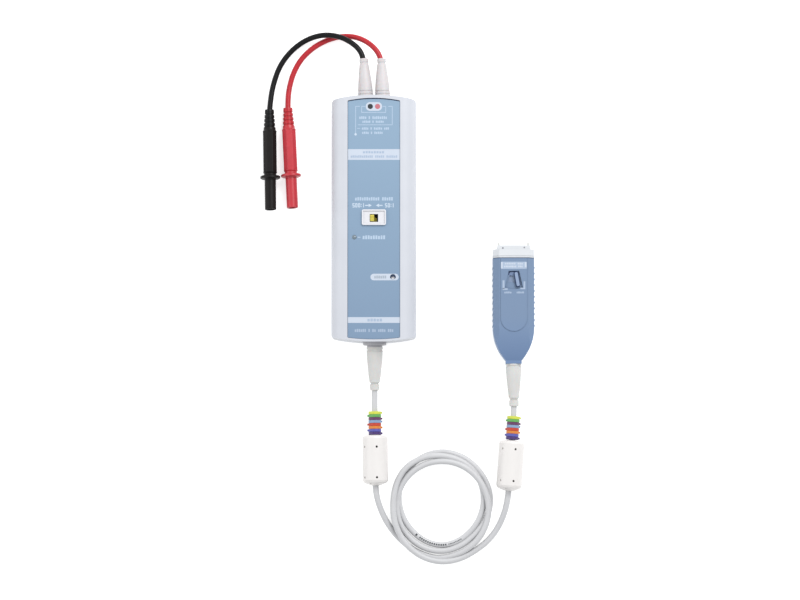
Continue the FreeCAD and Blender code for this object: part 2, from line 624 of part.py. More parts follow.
def make_interface_shells():
    outer, hollow = hub_form(0, HUB_FRONT), hub_form(HUB_WALL, HUB_FRONT + 5)
    wall = outer.cut(hollow)
    for side in (-1, 1):
        for index in range(RIB_COUNT):
            at = (HUB_X + side * (HUB_HALF_W - 0.55), RIB_FIRST - RIB_PITCH * index)
            wall = wall.fuse(post(1.1, at, 5.0, HUB_T - 5.0).cut(hollow))
    lip_x, lip_y = around(HUB_X, PANEL_HALF_W), (PANEL_END, HUB_FRONT - 0.6)
    panel = block(lip_x, lip_y, (HUB_T - 1, PANEL_TOP))
    panel = panel.fuse(post(PANEL_HALF_W, (HUB_X, PANEL_END), HUB_T - 1, PANEL_TOP))
    cut_high = block((90, 145), (-130, -20), (HUB_MID, 40))
    cut_low = block((90, 145), (-130, -20), (-5, HUB_MID))
    top, bottom = wall.common(cut_high).fuse(panel), wall.common(cut_low)
    for at in hub_screw_places():
        top = top.fuse(post(2.8, at, HUB_MID, HUB_T - 1).common(outer))
        bottom = bottom.fuse(post(3.2, at, 0, HUB_MID).common(outer))
    for at in hub_screw_places():
        top = top.cut(post(1.1, at, HUB_MID - 1, 21))
        bottom = bottom.cut(post(1.2, at, 4, HUB_MID + 1)).cut(post(2.2, at, -1, 5))
    for x in (-6, 6):
        for y in (-58, -98):
            bottom = bottom.fuse(post(1.5, (HUB_X + x, y), 1, 8.4))
    top = top.cut(lever_dish()).cut(lever_slot())
    top = top.fuse(post(1.5, LEVER_PIVOT, 22.1, HUB_T - 1))
    port = rod(4.4, V(HUB_X, -114, HUB_MID), V(HUB_X, -123, HUB_MID))
    top, bottom = top.cut(port), bottom.cut(port)
    save("interface_top_shell", top)
    save("interface_bottom_shell", bottom)
    screws = [screw(at, (1.1, 20), (2.1, 5), 3.2) for at in hub_screw_places()]
    save("interface_case_screws", Part.makeCompound(screws))
    board = block(around(HUB_X, 13.0), (-100, -53), (8.4, 10.0))
    for at in hub_screw_places():
        board = board.cut(post(3.3, at, 8, 11))
    save("interface_circuit_board", board)


def make_lever():
    """Thumb bar, stem, fan-shaped arm and pivot boss, turned to the resting side."""
    x, y = LEVER_PIVOT
    bar = block(around(x, LEVER_BAR_W / 2), (y - LEVER_BAR_R[1], y - LEVER_BAR_R[0]), (25.5, 28.0))
    bar = bar.makeFillet(1.1, upright_edges(bar))
    stem = block(around(x, 1.1), (y - 18.3, y - 13.5), (23, 26))
    arm = sector((1.0, LEVER_ARM_R), LEVER_ARM_HALF, 0, 22.2, 24.2)
    boss = post(3.0, LEVER_PIVOT, 22.2, 24.2)
    lever = bar.fuse([stem, arm, boss]).cut(post(1.55, LEVER_PIVOT, 20, 30))
    lever.rotate(V(x, y, 0), V(0, 0, 1), LEVER_REST)
    save("lock_lever", lever)


def make_end_block():
    shoulder = block(around(HUB_X, HUB_HALF_W), (HUB_FRONT, BLOCK_SHOULDER), (0, HUB_T))
    face = block(around(HUB_X, BLOCK_FACE_HALF_W), (BLOCK_SHOULDER - 1, BLOCK_FACE), (1.5, HUB_T - 1.4))
    hollow = block(around(HUB_X, HUB_HALF_W - HUB_WALL), (HUB_FRONT - 1, BLOCK_SHOULDER - 2),
                   (HUB_WALL, HUB_T - HUB_WALL)).common(hub_section(HUB_WALL))
    body = shoulder.common(hub_section(0)).fuse(face).cut(hollow)
    axis_back, axis_front = V(HUB_X, -32.2, HUB_MID), V(HUB_X, BLOCK_FACE, HUB_MID)
    body = body.fuse(rod(8.8, axis_back, axis_front))
    body = body.cut(rod(7.6, V(HUB_X, -31.0, HUB_MID), V(HUB_X, BLOCK_FACE + 1, HUB_MID)))
    body = body.cut(rod(5.4, V(HUB_X, -33.0, HUB_MID), V(HUB_X, -30.0, HUB_MID)))
    groove = block(around(HUB_X, 30), (HUB_FRONT + 1.0, HUB_FRONT + 1.5), (-5, 40))
    body = body.cut(groove.cut(hub_section(0.4)))
    pins = []
    for x in (-12.4, 12.2):
        start = V(HUB_X + x, -25.4, HUB_T - 5.0)
        pin = turned([(0.8, 0), (0.8, 5.4), (0.45, 6.1)], start, start + V(0, 1, 0))
        pins.append(pin)
    save("interface_end_block", body.cut(pins))
    save("interface_guide_pins", Part.makeCompound(pins))


def make_coax_plug():
    back = V(HUB_X, -38.0, HUB_MID)
    front = back + V(0, 1, 0)
    shell = turned([(5.4, 0), (5.4, 7.0), (4.1, 7.0), (4.1, 14.6), (3.9, 14.9)], back, front)
    bore = rod(3.5, back + V(0, 1.5, 0), back + V(0, 20, 0))
    save("coax_plug_shell", shell.cut(bore).cut(rod(0.9, back - V(0, 1, 0), back + V(0, 4, 0))))
    insulator = turned([(3.5, 1.5), (3.5, 7.5), (1.6, 7.5), (1.6, 10.5)], back, front)
    contact = turned([(0.9, -1.5), (0.9, 11.0), (0.68, 11.2), (0.68, 13.6), (0.3, 14.0)], back, front)
    save("coax_plug_insulator", insulator.cut(contact))
    save("coax_plug_contact", contact)


def make_interface_boot(cable):
    profile = [(6.65, -1.0), (6.65, 0.9), (6.2, 1.2), (6.2, 2.2), (6.6, 2.5), (6.35, 8.5),
               (5.8, 15.0), (5.1, 22.0), (4.4, 28.2), (3.2, 29.9)]
    bead = [(3.2, 29.5), (3.2, 30.2), (4.1, 30.7), (4.1, 34.9), (3.4, 35.6)]
    neck = rod(4.4, V(HUB_X, -117.0, HUB_MID), V(HUB_X, -121.6, HUB_MID))
    make_cable_boot("interface_boot", V(HUB_X, HUB_REAR, HUB_MID), FAR_STRAIGHT[0], neck, profile,
                    bead, cable)


def make_output_boot(cable):
    profile = [(6.7, -1.5), (6.7, 1.4), (6.3, 1.7), (6.3, 2.7), (6.7, 3.0), (6.4, 9.5),
               (5.85, 16.0), (5.2, 23.0), (4.5, 28.8), (3.3, 30.4)]
    bead = [(3.2, 30.0), (3.2, 30.8), (4.0, 31.3), (4.0, 35.4), (3.4, 36.0)]
    neck = rod(3.0, V(CABLE_X, -107.6, BOX_SPLIT), V(CABLE_X, -109.0, BOX_SPLIT))
    make_cable_boot("output_boot", V(CABLE_X, -107.6, BOX_SPLIT), MAIN_STRAIGHT[0], neck, profile,
                    bead, cable)


os.makedirs("parts", exist_ok=True)
box_outer, box_wall = make_box()
make_board()
make_switch()
make_lamp_and_trimmer()
black_lead = tube("black_lead", BLACK_ROUTE, LEAD_D)
red_lead = tube("red_lead", RED_ROUTE, LEAD_D)
save("black_lead", black_lead)
save("red_lead", red_lead)
make_input_boot("black_input_boot", BLACK_BOOT, box_wall, box_outer, black_lead)
make_input_boot("red_input_boot", RED_BOOT, box_wall, box_outer, red_lead)
make_plug("black", BLACK_PLUG, black_lead)
make_plug("red", RED_PLUG, red_lead)
make_output_gland(box_wall, box_outer)
near_cable, far_cable = make_cable()
make_output_boot(near_cable)
make_rings("main", MAIN_STRAIGHT, MAIN_RINGS_Y, near_cable)
make_rings("interface", FAR_STRAIGHT, FAR_RINGS_Y, far_cable)
make_ferrite("main", MAIN_STRAIGHT, MAIN_FERRITE_Y, near_cable, 7.5, (9.6, 35.2))
make_ferrite("interface", FAR_STRAIGHT, FAR_FERRITE_Y, far_cable, 17.4, (7.0, 33.6))
make_interface_shells()
make_lever()
make_end_block()
make_coax_plug()
make_interface_boot(far_cable)
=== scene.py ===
import math

import bmesh
import bpy
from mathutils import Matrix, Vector


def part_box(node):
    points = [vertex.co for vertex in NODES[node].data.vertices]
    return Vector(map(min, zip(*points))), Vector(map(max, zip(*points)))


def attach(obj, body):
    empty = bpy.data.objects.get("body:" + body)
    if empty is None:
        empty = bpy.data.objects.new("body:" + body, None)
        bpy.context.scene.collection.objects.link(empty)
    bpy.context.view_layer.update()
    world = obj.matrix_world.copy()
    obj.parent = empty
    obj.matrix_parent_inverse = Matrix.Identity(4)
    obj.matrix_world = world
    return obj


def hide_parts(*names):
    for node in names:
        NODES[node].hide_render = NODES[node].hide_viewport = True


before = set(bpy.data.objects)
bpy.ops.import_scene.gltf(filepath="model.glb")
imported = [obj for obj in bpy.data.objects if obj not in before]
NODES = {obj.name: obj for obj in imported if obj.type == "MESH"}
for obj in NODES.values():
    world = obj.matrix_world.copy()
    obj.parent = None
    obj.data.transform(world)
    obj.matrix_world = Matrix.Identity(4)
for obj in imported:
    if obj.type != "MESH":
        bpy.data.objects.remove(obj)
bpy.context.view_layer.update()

MM = 0.001


def mm(*values):
    """Metres from millimetres."""
    return tuple(v * MM for v in values)


# --- camera -----------------------------------------------------------------------------------
def make_camera():
    """Looks almost straight down on the table."""
    target = Vector(mm(21.9, -67.6, 15.0))
    distance = 3.0
    tilt = math.radians(86.0)
    back = Vector((0.0, -math.cos(tilt), math.sin(tilt)))
    data = bpy.data.cameras.new("camera")
    data.lens = 160.7
    data.sensor_width = 36.0
    data.clip_start = 0.1
    data.clip_end = 50.0
    camera = bpy.data.objects.new("camera", data)
    camera.location = target + back * distance
    camera.rotation_mode = "QUATERNION"
    camera.rotation_quaternion = (-back).to_track_quat("-Z", "Y")
    bpy.context.scene.collection.objects.link(camera)
    bpy.context.scene.camera = camera


make_camera()


# --- cords: routes in millimetres -------------------------------------------------------------
LEAD_D = 4.6
CABLE_D = 5.0
BLACK_ROUTE = [
    (-8.2, 127.0, 17.0), (-8.8, 135.8, 17.0), (-12.0, 144.0, 16.4),
    (-19.6, 150.9, 14.6), (-30.0, 156.3, 11.6), (-43.8, 158.0, 9.0),
    (-58.3, 153.9, 5.2), (-70.8, 144.7, 2.7), (-80.1, 132.0, 2.5),
    (-85.1, 117.6, 2.7), (-87.6, 104.4, 4.1), (-88.57, 91.7, 4.93),
]
RED_ROUTE = [
    (6.5, 127.0, 17.0), (6.0, 135.6, 17.0), (2.6, 143.2, 16.3),
    (-4.7, 150.5, 13.4), (-14.6, 155.8, 9.2), (-26.4, 157.4, 4.9),
    (-39.0, 154.7, 2.6), (-50.9, 148.4, 2.5), (-61.6, 138.6, 2.5),
    (-68.2, 126.8, 2.6), (-71.7, 114.5, 3.0), (-73.0, 103.5, 4.2),
    (-72.89, 93.15, 4.93),
]
# The straight stretch through the rings and the ferrite has one more point near each end.
NEAR_ROUTE = [
    (0.7, -132.0, 13.6), (0.6, -151.5, 10.8), (0.83, -171.2, 10.8), (1.353, -215.9, 10.8),
    (1.5, -228.5, 10.8), (4.6, -240.6, 7.9), (9.8, -252.2, 4.4), (17.2, -263.0, 2.55),
    (25.9, -271.8, 2.5), (36.2, -278.9, 2.5), (48.0, -283.2, 2.5),
]
FAR_ROUTE = [
    (34.8, -279.7, 7.6), (46.9, -285.6, 6.1), (60.4, -287.2, 4.5), (73.7, -284.0, 3.1),
    (84.9, -277.8, 2.5), (95.2, -270.0, 2.6), (103.6, -259.7, 4.2), (109.5, -246.6, 7.9),
    (112.3, -234.5, 10.8), (113.25, -222.49, 10.8), (116.65, -173.8, 10.8),
    (117.68, -158.5, 10.8), (117.48, -143.2, 11.8),
]
COIL_CENTRE = (57.0, -238.0)
# (radius, height) of the cable's middle at every eighth of a turn, anticlockwise from the
# bottom: three loose turns that cross over and under each other.
COIL_EIGHTHS = [
    (45.3, 2.5), (42.6, 5.9), (38.9, 6.8), (36.2, 7.3), (35.2, 6.8), (36.1, 6.6), (37.9, 5.8),
    (39.4, 4.6), (40.0, 4.0), (37.7, 2.8), (40.7, 2.5), (41.6, 2.5), (43.3, 2.5), (40.2, 2.5),
    (35.6, 2.5), (33.6, 2.5), (35.0, 2.5), (33.4, 2.5), (34.9, 2.5), (38.2, 4.2), (39.7, 6.2),
    (42.4, 7.6), (40.4, 9.1), (44.7, 8.6),
]
COIL_STEPS = 16


def coil_route():
    """Points of the three turns, sixteen to a turn, a little outside the cable's own line."""
    # The spline passes each point at six eighths of itself and one eighth of each neighbour.
    outside = 8.0 / (6.0 + 2.0 * math.cos(math.tau / COIL_STEPS))
    last = len(COIL_EIGHTHS) - 1
    points = []
    for step in range(2 * last + 1):
        near = [COIL_EIGHTHS[min(max(step // 2 + i, 0), last)] for i in (-1, 0, 1, 2)]
        weights = (-1, 9, 9, -1) if step % 2 else (0, 16, 0, 0)
        radius, height = (sum(w * pair[k] for w, pair in zip(weights, near)) / 16 for k in (0, 1))
        angle = math.tau * (step / COIL_STEPS - 0.25)
        points.append((COIL_CENTRE[0] + radius * outside * math.cos(angle),
                       COIL_CENTRE[1] + radius * outside * math.sin(angle),
                       max(CABLE_D / 2, height)))
    return points


def make_cord(name, route, diameter, node_names):
    """One NURBS spline through the route's points, as a round cord that replaces its tubes."""
    data = bpy.data.curves.new(name, "CURVE")
    data.dimensions = "3D"
    data.resolution_u = 12
    data.bevel_depth = 1.0      # times each point's radius
    data.bevel_resolution = 6
    data.use_fill_caps = True
    spline = data.splines.new("NURBS")
    spline.points.add(len(route) - 1)
    for point, place in zip(spline.points, route):
        point.co = (*mm(*place), 1.0)
        point.radius = diameter / 2 * MM
    spline.order_u = 3
    spline.use_endpoint_u = True
    cord = bpy.data.objects.new(name, data)
    bpy.context.scene.collection.objects.link(cord)
    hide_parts(*node_names)
    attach(cord, "probe")
    return cord


RINGS = ["yellow", "green", "magenta", "skyblue", "red", "orange", "violet", "purple"]
black_cord = make_cord("black_lead_cord", BLACK_ROUTE, LEAD_D, ["black_lead"])
red_cord = make_cord("red_lead_cord", RED_ROUTE, LEAD_D, ["red_lead"])
output_cord = make_cord("output_cable_cord", NEAR_ROUTE + coil_route() + FAR_ROUTE, CABLE_D,
                        ["cable_main_side", "cable_coil", "cable_interface_side"])
on_cable = [NODES[side + "_ring_" + colour] for side in ("main", "interface") for colour in RINGS]
on_cable += [NODES[side + "_ferrite_" + part] for side in ("main", "interface")
             for part in ("case_a", "case_b", "core")]
on_cable += [NODES["output_boot"], NODES["interface_boot"]]


# --- materials --------------------------------------------------------------------------------
LIGHT_LEVEL = 1.62      # light on a level surface, so that the floor is well past white
GLOSS_VARY = 0.08       # how far a material's roughness strays from its usual value
FADE_SHARE = 0.8        # how much of a faded colour comes from the fade
MATERIALS = {}


def linear(srgb):
    """Linear colour of an 8-bit sRGB one."""
    parts = [c / 255 for c in srgb]
    parts = [c / 12.92 if c <= 0.04045 else ((c + 0.055) / 1.055) ** 2.4 for c in parts]
    return (*parts, 1.0)


def shade(colour, factor):
    """The same colour made lighter or darker."""
    return tuple(min(1.0, c * factor) for c in colour[:3]) + (1.0,)


def surface(name, srgb, rough, vary, blotch, grain, bump, metal=0.0, coat=0.0, specular=0.5,
            through=0.0, fade=None):
    """Adds a moulded or turned material: uneven colour, fine grain in bump, uneven gloss.
    fade is a colour at the piece's lower end, one above, and the share of the way between."""
    made = MATERIALS[name] = bpy.data.materials.new(name)
    made.use_nodes = True
    nodes, links = made.node_tree.nodes, made.node_tree.links
    shader = nodes["Principled BSDF"]
    shader.inputs["Metallic"].default_value = metal
    shader.inputs["Specular IOR Level"].default_value = specular
    shader.inputs["Coat Weight"].default_value = coat
    shader.inputs["Coat Roughness"].default_value = 0.12
    shader.inputs["Subsurface Weight"].default_value = through
    shader.inputs["Subsurface Scale"].default_value = 0.002
    place = nodes.new("ShaderNodeTexCoord")

    def noise(scale, detail):
        node = nodes.new("ShaderNodeTexNoise")
        node.inputs["Scale"].default_value = scale
        node.inputs["Detail"].default_value = detail
        links.new(place.outputs["Object"], node.inputs["Vector"])
        return node.outputs["Fac"]

    base = shade(linear(srgb), 1.0 / LIGHT_LEVEL)
    colours = nodes.new("ShaderNodeValToRGB")
    colours.color_ramp.elements[0].position = 0.3
    colours.color_ramp.elements[0].color = shade(base, 1.0 - vary)
    colours.color_ramp.elements[1].position = 0.7
    colours.color_ramp.elements[1].color = shade(base, 1.0 + vary)
    links.new(noise(blotch, 3.0), colours.inputs["Fac"])
    links.new(colours.outputs["Color"], shader.inputs["Base Color"])
    if fade:
        apart = nodes.new("ShaderNodeSeparateXYZ")
        links.new(place.outputs["Generated"], apart.inputs["Vector"])
        run = nodes.new("ShaderNodeValToRGB")
        for end, colour in zip(run.color_ramp.elements, fade):
            end.color = shade(linear(colour), 1.0 / LIGHT_LEVEL)
        run.color_ramp.elements[1].position = fade[2]
        links.new(apart.outputs["Y"], run.inputs["Fac"])
        blend = nodes.new("ShaderNodeMix")
        blend.data_type = "RGBA"
        blend.inputs["Factor"].default_value = FADE_SHARE
        links.new(colours.outputs["Color"], blend.inputs["A"])
        links.new(run.outputs["Color"], blend.inputs["B"])
        links.new(blend.outputs["Result"], shader.inputs["Base Color"])
    gloss = nodes.new("ShaderNodeMapRange")
    gloss.inputs["To Min"].default_value = max(0.02, rough - GLOSS_VARY)
    gloss.inputs["To Max"].default_value = min(1.0, rough + GLOSS_VARY)
    links.new(noise(blotch * 4, 4.0), gloss.inputs["Value"])
    links.new(gloss.outputs["Result"], shader.inputs["Roughness"])
    relief = nodes.new("ShaderNodeBump")
    relief.inputs["Strength"].default_value = bump
    relief.inputs["Distance"].default_value = 0.0002
    links.new(noise(grain, 2.0), relief.inputs["Height"])
    links.new(relief.outputs["Normal"], shader.inputs["Normal"])


# Materials of the slots: colour, roughness, variation, blotch scale, grain scale, bump.
surface("shell_white", (219, 222, 230), 0.42, 0.02, 40, 2200, 0.10)
surface("overlay_blue", (147, 173, 199), 0.5, 0.02, 25, 5200, 0.12, specular=0.3,
        fade=((131, 156, 185), (153, 181, 206), 1.0))
surface("board_green", (34, 82, 52), 0.35, 0.12, 160, 900, 0.2)
surface("bezel_white", (240, 240, 245), 0.38, 0.02, 90, 2600, 0.06)
surface("switch_black", (26, 26, 28), 0.5, 0.1, 200, 2600, 0.08, specular=0.15)
surface("slider_yellow", (232, 216, 84), 0.4, 0.05, 300, 2600, 0.06)
surface("lamp_grey", (122, 138, 150), 0.25, 0.06, 300, 2000, 0.03, coat=0.3)
surface("screw_steel", (176, 190, 208), 0.32, 0.08, 500, 6000, 0.1, metal=0.6)
surface("boot_white", (222, 217, 218), 0.5, 0.03, 120, 2600, 0.1, through=0.1)
surface("boot_grey", (226, 225, 222), 0.5, 0.03, 120, 2600, 0.1, through=0.1)
surface("gland_grey", (190, 189, 194), 0.48, 0.05, 120, 2400, 0.1)
surface("lead_black", (18, 18, 20), 0.38, 0.12, 200, 1800, 0.06, specular=0.16)
surface("lead_red", (196, 36, 48), 0.36, 0.08, 200, 1800, 0.06, specular=0.3)
surface("plug_black", (30, 27, 27), 0.38, 0.12, 160, 2600, 0.08, specular=0.12)
surface("plug_red", (206, 50, 62), 0.34, 0.07, 160, 2600, 0.08, specular=0.4)
surface("nickel", (206, 204, 198), 0.24, 0.05, 300, 5000, 0.06, metal=1.0)
surface("gold", (224, 186, 102), 0.25, 0.05, 300, 5000, 0.05, metal=1.0)
surface("cable_grey", (220, 220, 222), 0.42, 0.03, 90, 1500, 0.05, specular=0.35)
surface("hub_blue", (128, 152, 184), 0.46, 0.03, 40, 2200, 0.12, specular=0.35,
        fade=((112, 140, 184), (126, 149, 180), 0.45))
surface("lever_blue", (148, 168, 200), 0.4, 0.03, 120, 2400, 0.06)
surface("block_white", (232, 235, 239), 0.4, 0.02, 70, 2400, 0.08)
surface("pin_grey", (226, 226, 222), 0.35, 0.05, 200, 4000, 0.05)
surface("insulator_white", (234, 232, 226), 0.4, 0.03, 200, 2000, 0.04)
surface("ferrite_case_white", (250, 246, 243), 0.38, 0.015, 80, 2200, 0.08)
surface("ferrite_grey", (52, 51, 52), 0.6, 0.1, 300, 1500, 0.3, specular=0.2)
for ring, colour, vary in (
        ("yellow", (222, 230, 78), 0.05), ("green", (104, 182, 92), 0.05),
        ("magenta", (104, 50, 98), 0.06), ("skyblue", (140, 168, 206), 0.05),
        ("red", (206, 62, 36), 0.06), ("orange", (234, 138, 50), 0.05),
        ("violet", (92, 92, 184), 0.06), ("purple", (74, 44, 118), 0.06)):
    surface("ring_" + ring, colour, 0.42, vary, 300, 2400, 0.06)
# Prints, joints, and painted shade and painted light for shaded and lit places.
surface("ink_pale", (212, 228, 244), 0.5, 0.03, 300, 4000, 0.05)
surface("ink_thin", (190, 211, 233), 0.5, 0.05, 900, 4000, 0.05)
surface("stripe_ink_and_painted_highlight", (211, 221, 236), 0.5, 0.02, 60, 4000, 0.05)
surface("ink_blue", (176, 194, 218), 0.5, 0.03, 300, 4000, 0.05)
surface("ink_grey", (174, 186, 200), 0.5, 0.03, 300, 4000, 0.05)
surface("ink_black", (58, 64, 68), 0.5, 0.08, 300, 4000, 0.05, specular=0.2)
surface("ink_red", (206, 116, 128), 0.5, 0.05, 300, 4000, 0.05)
surface("painted_shade_navy", (44, 64, 104), 0.5, 0.06, 300, 3000, 0.06, specular=0.2)
surface("painted_light_lilac", (132, 152, 188), 0.5, 0.03, 300, 3000, 0.05, specular=0.2)
surface("joint_dark_and_painted_shade", (62, 74, 98), 0.6, 0.08, 200, 3000, 0.05, specular=0.1)
surface("painted_shadow_black", (24, 22, 18), 0.6, 0.1, 200, 3000, 0.05, specular=0.05)
surface("gap_grey", (150, 152, 160), 0.6, 0.06, 200, 3000, 0.05, specular=0.1)
surface("painted_shade_olive", (128, 116, 28), 0.5, 0.08, 300, 3000, 0.05, specular=0.2)


def dress_nodes():
    """Every CAD node keeps its shape and gets the material of its slot."""
    for node in NODES.values():
        for place in node.material_slots:
            place.material = MATERIALS[place.material.name.split(".")[0]]


dress_nodes()
for cord, slot_name in ((black_cord, "lead_black"), (red_cord, "lead_red"),
                        (output_cord, "cable_grey")):
    cord.data.materials.append(MATERIALS[slot_name])


# --- thin pieces: print, joints, seams, painted shade and painted highlight -------------------
def finish_piece(name, made, body, ink):
    """Turns a bmesh into a piece that rides on a body."""
    mesh = bpy.data.meshes.new(name)
    bmesh.ops.recalc_face_normals(made, faces=made.faces)
    made.to_mesh(mesh)
    made.free()
    piece = bpy.data.objects.new(name, mesh)
    bpy.context.scene.collection.objects.link(piece)
    mesh.materials.append(MATERIALS[ink])
    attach(piece, body)


def solid_of(name, loops, low, high, body, ink):
    """One mesh of upright prisms, from closed outlines in millimetres.
    A loop that comes as a pair is a ring between its outer and its inner outline."""
    made = bmesh.new()
    for loop in loops:
        ring = isinstance(loop, tuple)
        outlines = loop if ring else (loop,)
        levels = [[[made.verts.new(mm(x, y, z)) for x, y in outline] for z in (low, high)]
                  for outline in outlines]
        count = len(outlines[0])
        for side, (bottom, top) in enumerate(levels):
            for i in range(count):
                j = (i + 1) % count
                face = (bottom[i], bottom[j], top[j], top[i])
                made.faces.new(face if side == 0 else face[::-1])
        for level in (0, 1):
            if not ring:
                face = levels[0][level]
                made.faces.new(face if level else face[::-1])
                continue
            outer, inner = levels[0][level], levels[1][level]
            for i in range(count):
                j = (i + 1) % count
                face = (outer[i], outer[j], inner[j], inner[i])
                made.faces.new(face if level else face[::-1])
    finish_piece(name, made, body, ink)


def bar(x, y):
    """Rectangle from two ends in x and two in y."""
    return [(x[0], y[0]), (x[1], y[0]), (x[1], y[1]), (x[0], y[1])]


def arc(x, y, radius, start, sweep, steps):
    """Points of an arc around (x, y); start and sweep in degrees, anticlockwise."""
    angles = [math.radians(start + sweep * i / steps) for i in range(steps + 1)]
    return [(x + radius * math.cos(a), y + radius * math.sin(a)) for a in angles]


def rounded(x, y, radius):
    """Rectangle with round corners."""
    corners = ((x[1], y[0], 1, -1, -90), (x[1], y[1], 1, 1, 0), (x[0], y[1], -1, 1, 90),
               (x[0], y[0], -1, -1, 180))
    points = []
    for corner_x, corner_y, right, up, start in corners:
        points += arc(corner_x - right * radius, corner_y - up * radius, radius, start, 90, 6)
    return points


def dense(outline, step):
    """The same outline with more points on its long sides."""
    points = []
    for a, b in zip(outline, outline[1:] + outline[:1]):
        parts = max(1, math.ceil(math.dist(a, b) / step))
        points += [(a[0] + (b[0] - a[0]) * i / parts, a[1] + (b[1] - a[1]) * i / parts)
                   for i in range(parts)]
    return points


def disc(x, y, radius, steps=28):
    """Full circle as an outline."""
    turn = math.tau / steps
    return [(x + radius * math.cos(turn * i), y + radius * math.sin(turn * i))
            for i in range(steps)]


def stroke(a, b, width):
    """Straight bar of a line drawing, from a to b."""
    along = Vector((b[0] - a[0], b[1] - a[1])).normalized() * (width / 2)
    side = Vector((-along.y, along.x))
    start, end = Vector(a) - along, Vector(b) + along
    return [tuple(start - side), tuple(end - side), tuple(end + side), tuple(start + side)]


def text_bars(x, y, words):
    """Stands for a line of small print: a row of short bars, as many as each word has."""
    pitch = (x[1] - x[0]) / (sum(words) + len(words) - 1)
    at, loops = x[0], []
    # A bar fills most of its pitch, and every third one is a little lower.
    for number, word in enumerate(words):
        for place in range(word):
            cut = 0.0 if (place + number) % 3 else 0.12 * (y[1] - y[0])
            loops.append(bar((at + 0.12 * pitch, at + 0.86 * pitch), (y[0], y[1] - cut)))
            at += pitch
        at += pitch
    return loops


FIGURE_WIDE = 0.52      # width of a figure, as a share of its height
FIGURE_LINE = 0.62      # thickness of its strokes


def numeral(character, x, y, height):
    """A figure of the scale (0, 1 or 5) or a colon, as outlines of its strokes."""
    wide, w, top, mid = FIGURE_WIDE * height, FIGURE_LINE, y + height, y + height / 2
    if character == ":":
        return [disc(x + 0.35, y + height * part, 0.4, 12) for part in (0.26, 0.74)]
    if character == "1":
        return [bar((x + wide / 2 - w / 2, x + wide / 2 + w / 2), (y, top))]
    if character == "0":
        return [(rounded((x, x + wide), (y, top), 0.5),
                 rounded((x + w, x + wide - w), (y + w, top - w), 0.2))]
    low, high = mid - w / 2, mid + w / 2
    return [[(x, y), (x + wide, y), (x + wide, high), (x + w, high), (x + w, top - w),
             (x + wide, top - w), (x + wide, top), (x, top), (x, low), (x + wide - w, low),
             (x + wide - w, y + w), (x, y + w)]]


def ratio(text, x, y, height):
    """Row of figures, such as 50:1."""
    loops = []
    for character in text:
        loops += numeral(character, x, y, height)
        x += 1.25 if character == ":" else FIGURE_WIDE * height + 0.55
    return loops


INK = 0.03      # thickness of a printed layer


def printed(name, loops, ink, top, layer=0):
    """Print on the surface at height top, or on another print if layer is 1."""
    low = top + layer * INK
    solid_of(name, loops, low, low + INK, "probe", ink)


def print_front():
    """Legends of the probe's front: bars stand for words, and only the scale has numbers."""
    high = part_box("front_overlay")[1]
    half, top = high.x / MM, high.z / MM
    lines = [((-15.3, 93.9), (-12.0, 93.9)), ((-15.3, 93.3), (-15.3, 70.6)),
             ((12.3, 93.9), (15.4, 93.9)), ((15.4, 93.3), (15.4, 78.9)),
             ((-13.2, 78.3), (15.4, 78.3)), ((-10.3, 93.9), (-7.4, 93.9)),
             ((-10.3, 93.3), (-10.3, 89.4)), ((-10.3, 88.8), (9.9, 88.8)),
             ((9.9, 93.3), (9.9, 89.4)), ((7.6, 93.9), (9.9, 93.9)), ((-13.6, 75.3), (-11.6, 75.3))]
    printed("front_print_lines", [stroke(a, b, 0.5) for a, b in lines], "ink_thin", top)
    printed("front_print_point", [disc(-15.3, 70.3, 1.0)], "ink_pale", top, layer=1)
    printed("input_mark_pill", [rounded((-6.8, 6.9), (90.1, 97.4), 3.5)], "stripe_ink_and_painted_highlight", top)
    printed("input_mark_black", [disc(-3.0, 93.8, 2.2)], "ink_black", top, 1)
    printed("input_mark_red", [disc(3.1, 93.8, 2.2)], "ink_red", top, 1)
    rows = text_bars((-12.4, 11.1), (83.2, 85.5), (4, 1, 8)) \
        + text_bars((-9.8, 8.4), (80.0, 81.9), (5, 1, 5)) \
        + text_bars((-10.2, 12.8), (74.2, 76.2), (4, 1, 5, 3)) \
        + text_bars((-10.0, 7.5), (70.6, 72.6), (4, 1, 5)) \
        + text_bars((-15.9, 16.1), (14.6, 17.4), (11, 5)) \
        + text_bars((-9.6, 9.7), (-17.9, -14.7), (9,))
    printed("front_print_rows", rows, "ink_thin", top)
    printed("output_print_row", text_bars((-16.1, 16.5), (-95.6, -93.1), (6, 1, 2, 4, 3)),
            "ink_blue", top)
    printed("lamp_dash", [bar((-13.6, -11.2), (-16.6, -15.9))], "ink_thin", top)
    stripes = [bar((-half + 0.3, half - 0.3), y) for y in ((48.8, 57.8), (-88.0, -83.2))]
    printed("front_stripes", stripes, "stripe_ink_and_painted_highlight", top)
    rows = text_bars((-9.4, 8.8), (54.3, 56.2), (8,)) \
        + text_bars((-19.6, 19.8), (50.6, 52.6), (12, 5, 6)) \
        + text_bars((-5.6, 7.2), (-86.8, -84.4), (5,))
    printed("stripe_rows", rows, "ink_blue", top, layer=1)
    print_scale(top)
    print_trimmer(top)


def print_scale(top):
    """The switch's two ratios, each with an arrow from it to the middle."""
    scale = ratio("500:1", -17.9, 8.8, 3.5) + ratio("50:1", 9.3, 8.8, 3.5)
    y = 10.5
    for tip, away in ((-1.7, -1), (1.7, 1)):
        scale.append(stroke((tip + 3.2 * away, y), (tip + 5.2 * away, y), 0.8))
        scale.append([(tip, y), (tip + 2.7 * away, y - 1.4 * away),
                      (tip + 2.7 * away, y + 1.4 * away)])
    printed("range_scale", scale, "ink_pale", top)


